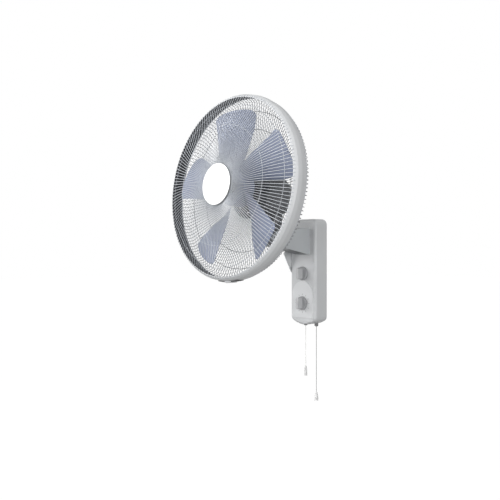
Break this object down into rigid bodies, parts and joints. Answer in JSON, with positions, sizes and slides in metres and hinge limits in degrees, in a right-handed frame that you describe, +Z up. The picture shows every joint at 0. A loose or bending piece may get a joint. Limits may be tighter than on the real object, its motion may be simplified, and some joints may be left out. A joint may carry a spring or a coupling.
{
  "type": "wall mounted fan",
  "caption": "Wall mounted fan with round wire guards in a hoop, bladed impeller, tilting and swinging head, arm on a wall box with knobs and pull cords",
  "frame": {"origin": "middle of the wall plate's screw holes, on the wall", "axes": "+Z up, +Y into the wall, so the fan faces -Y; +X to the right seen from the front"},
  "size_m": [0.457, 0.3594, 0.7797],
  "materials": {
    "light_grey_plastic": "satin light grey moulding",
    "panel_grey": "satin pale grey panel",
    "knob_grey": "satin grey moulding",
    "motor_grey": "satin mid grey moulding",
    "white_plastic": "glossy white",
    "white_wire": "powder coated near white",
    "tinted_blade": "translucent blue grey",
    "dark_plastic": "matte dark grey",
    "inner_plastic": "matte, unpainted",
    "zinc_steel": "zinc plated sheet",
    "screw_steel": "zinc plated",
    "lamination_steel": "stacked sheet steel",
    "cast_aluminium": "as cast",
    "sintered_bronze": "sintered, oiled",
    "copper_wire": "enamelled windings",
    "white_cord": "thin white cord"
  },
  "bodies": {
    "wall_box": {"wall_plate": "zinc_steel", "plate_screws": "screw_steel", "rear_housing": "light_grey_plastic", "front_housing": "light_grey_plastic", "capacitor": "inner_plastic", "arm_shell": "light_grey_plastic", "arm_cover": "light_grey_plastic", "arm_screws": "screw_steel", "hinge_bolt": "screw_steel", "hinge_nut": "screw_steel", "hinge_washers": "screw_steel", "control_panel": "panel_grey", "speed_switch": "inner_plastic", "swing_switch": "inner_plastic", "pull_gland_left": "dark_plastic", "pull_gland_right": "dark_plastic", "pull_switch_left": "inner_plastic", "pull_switch_right": "inner_plastic"},
    "neck_post": {"neck": "motor_grey", "swing_pin": "screw_steel", "swing_collar": "screw_steel"},
    "fan_head": {"motor_front_cover": "motor_grey", "motor_rear_cover": "motor_grey", "front_bracket": "cast_aluminium", "rear_bracket": "cast_aluminium", "front_bearing": "sintered_bronze", "rear_bearing": "sintered_bronze", "stator": "lamination_steel", "stator_windings": "copper_wire", "motor_bolts": "screw_steel", "guard_nut": "dark_plastic", "rear_guard": "white_wire", "rear_guard_rings": "white_wire", "hoop": "light_grey_plastic", "front_guard": "white_wire", "front_guard_rings": "white_wire", "badge_disc": "white_plastic", "badge_backplate": "white_plastic", "rim_latch": "light_grey_plastic", "rim_latch_pads": "dark_plastic", "swing_motor": "dark_plastic"},
    "fan_rotor": {"impeller": "tinted_blade", "blade_nut": "dark_plastic", "motor_shaft": "screw_steel", "rotor": "lamination_steel"},
    "speed_control": {"speed_knob": "knob_grey", "speed_spindle": "inner_plastic"},
    "swing_control": {"swing_knob": "knob_grey", "swing_spindle": "inner_plastic"},
    "left_pull": {"pull_slider_left": "inner_plastic", "pull_cord_left": "white_cord", "pull_left": "white_plastic"},
    "right_pull": {"pull_slider_right": "inner_plastic", "pull_cord_right": "white_cord", "pull_right": "white_plastic"}
  },
  "joints": [
    {"name": "head_tilt", "type": "hinge", "parent": "wall_box", "child": "neck_post", "pos_m": [0, -0.165, 0.087], "axis": [1, 0, 0], "range_deg": [-14, 26]},
    {"name": "head_swing", "type": "hinge", "parent": "neck_post", "child": "fan_head", "pos_m": [0, -0.165, 0.087], "axis": [0, 0.1063, 0.9943], "range_deg": [-40, 40]},
    {"name": "fan_spin", "type": "hinge", "parent": "fan_head", "child": "fan_rotor", "pos_m": [0, -0.31773, 0.21063], "axis": [0, -0.9943, 0.1063], "continuous": true},
    {"name": "speed_knob_turn", "type": "hinge", "parent": "wall_box", "child": "speed_control", "pos_m": [0, -0.0525, -0.084], "axis": [0, 1, 0], "range_deg": [0, 135]},
    {"name": "swing_knob_turn", "type": "hinge", "parent": "wall_box", "child": "swing_control", "pos_m": [0, -0.0525, -0.005], "axis": [0, 1, 0], "range_deg": [0, 90]},
    {"name": "left_pull_slide", "type": "slide", "parent": "wall_box", "child": "left_pull", "axis": [0, 0, -1], "range_m": [0, 0.012], "stiffness_N_per_m": 200, "springref_m": -0.02},
    {"name": "right_pull_slide", "type": "slide", "parent": "wall_box", "child": "right_pull", "axis": [0, 0, -1], "range_m": [0, 0.012], "stiffness_N_per_m": 200, "springref_m": -0.02}
  ]
}
